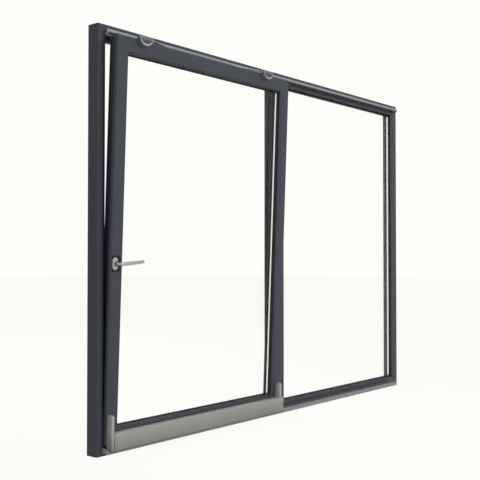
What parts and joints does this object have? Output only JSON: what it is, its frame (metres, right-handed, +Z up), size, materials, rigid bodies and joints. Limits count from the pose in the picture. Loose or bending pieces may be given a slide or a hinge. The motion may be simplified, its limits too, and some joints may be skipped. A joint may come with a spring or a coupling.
{
  "type": "parallel sliding tilt door",
  "caption": "Two-part parallel sliding tilt door with a tilted opening sash, a fixed light, a guide rail, a running track and a lever handle.",
  "frame": {"origin": "middle of the frame's underside, half way through its depth", "axes": "+X along the door from the opening sash to the fixed light, +Y to the outdoor side, +Z up"},
  "size_m": [3, 0.2125, 2.15],
  "materials": {
    "profile_foil": "anthracite grey foiled window profile, fine sand texture",
    "glass": "clear float glass",
    "spacer": "mill-finish spacer bar",
    "gasket": "black rubber seal",
    "rail_aluminium": "silver anodised, drawn along its length",
    "grey_plastic": "moulded silver-grey plastic",
    "dark_plastic": "moulded dark grey plastic",
    "bright_rim": "bright silver trim",
    "satin_silver": "satin silver lever handle",
    "zinc_steel": "zinc-plated steel hardware"
  },
  "bodies": {
    "frame": {"carriages": "zinc_steel", "fixed_bead_bottom": "profile_foil", "fixed_bead_left": "profile_foil", "fixed_bead_right": "profile_foil", "fixed_bead_top": "profile_foil", "fixed_gaskets": "gasket", "fixed_panes": "glass", "fixed_spacer": "spacer", "frame_head": "profile_foil", "frame_jamb_left": "profile_foil", "frame_jamb_right": "profile_foil", "frame_seal": "gasket", "frame_sill": "profile_foil", "guide_rail": "rail_aluminium", "guide_rail_caps": "grey_plastic", "mullion": "profile_foil", "running_track": "rail_aluminium", "scissor_sliders": "dark_plastic", "track_end_stops": "grey_plastic"},
    "sash_carrier": {"tilt_bearings": "zinc_steel"},
    "sash": {"sash_stile_left": "profile_foil", "sash_stile_right": "profile_foil", "sash_rail_bottom": "profile_foil", "sash_rail_top": "profile_foil", "sash_bead_left": "profile_foil", "sash_bead_right": "profile_foil", "sash_bead_bottom": "profile_foil", "sash_bead_top": "profile_foil", "sash_panes": "glass", "sash_spacer": "spacer", "sash_gaskets": "gasket", "sash_seals": "gasket", "scissor_brackets": "zinc_steel", "scissor_caps": "dark_plastic", "scissor_cap_rims": "bright_rim", "tilt_lugs": "zinc_steel", "bottom_cover": "rail_aluminium", "cover_cap_left": "grey_plastic", "cover_cap_right": "grey_plastic", "handle_base": "dark_plastic", "handle_rosette": "satin_silver"},
    "handle": {"handle_lever": "satin_silver"},
    "scissor_pin_left": {"scissor_pin_left": "zinc_steel"},
    "scissor_pin_right": {"scissor_pin_right": "zinc_steel"},
    "scissor_arm_left": {"scissor_arm_left": "zinc_steel"},
    "scissor_arm_right": {"scissor_arm_right": "zinc_steel"},
    "carriage_arm_left": {"carriage_arm_left": "zinc_steel"},
    "carriage_arm_right": {"carriage_arm_right": "zinc_steel"}
  },
  "joints": [
    {"name": "set_off", "type": "slide", "parent": "frame", "child": "sash_carrier", "axis": [0, -1, 0], "range_m": [0, 0.115]},
    {"name": "tilt", "type": "hinge", "parent": "sash_carrier", "child": "sash", "pos_m": [0, -0.0795, 0.071], "axis": [-1, 0, 0], "range_deg": [0, 2.3]},
    {"name": "handle_turn", "type": "hinge", "parent": "sash", "child": "handle", "pos_m": [-1.437, -0.09841, 0.95295], "axis": [0, -0.9992, -0.0401], "range_deg": [-90, 90]},
    {"name": "scissor_pin_turn_left", "type": "hinge", "parent": "frame", "child": "scissor_pin_left", "pos_m": [-0.84025, -0.052, 2.098], "axis": [0, 0, 1], "range_deg": [-9.97, 0]},
    {"name": "scissor_arm_swing_left", "type": "hinge", "parent": "scissor_pin_left", "child": "scissor_arm_left", "pos_m": [-0.84025, -0.052, 2.098], "axis": [0, 0, 1], "range_deg": [0, 14.33]},
    {"name": "carriage_arm_swing_left", "type": "hinge", "parent": "frame", "child": "carriage_arm_left", "pos_m": [-1.1051, -0.0605, 0.044], "axis": [0, 0, 1], "range_deg": [0, 22.73]},
    {"name": "scissor_pin_turn_right", "type": "hinge", "parent": "frame", "child": "scissor_pin_right", "pos_m": [-0.74575, -0.052, 2.098], "axis": [0, 0, -1], "range_deg": [-9.97, 0]},
    {"name": "scissor_arm_swing_right", "type": "hinge", "parent": "scissor_pin_right", "child": "scissor_arm_right", "pos_m": [-0.74575, -0.052, 2.098], "axis": [0, 0, -1], "range_deg": [0, 14.33]},
    {"name": "carriage_arm_swing_right", "type": "hinge", "parent": "frame", "child": "carriage_arm_right", "pos_m": [-0.4169, -0.0605, 0.044], "axis": [0, 0, -1], "range_deg": [0, 22.73]}
  ],
  "couplings": [
    {"joint": "scissor_pin_turn_left", "follows": "tilt", "ratio": -4.313},
    {"joint": "scissor_arm_swing_left", "follows": "set_off", "rad_per_m": 2.1672},
    {"joint": "carriage_arm_swing_left", "follows": "set_off", "rad_per_m": 3.4421},
    {"joint": "scissor_pin_turn_right", "follows": "tilt", "ratio": -4.313},
    {"joint": "scissor_arm_swing_right", "follows": "set_off", "rad_per_m": 2.1672},
    {"joint": "carriage_arm_swing_right", "follows": "set_off", "rad_per_m": 3.4421}
  ]
}
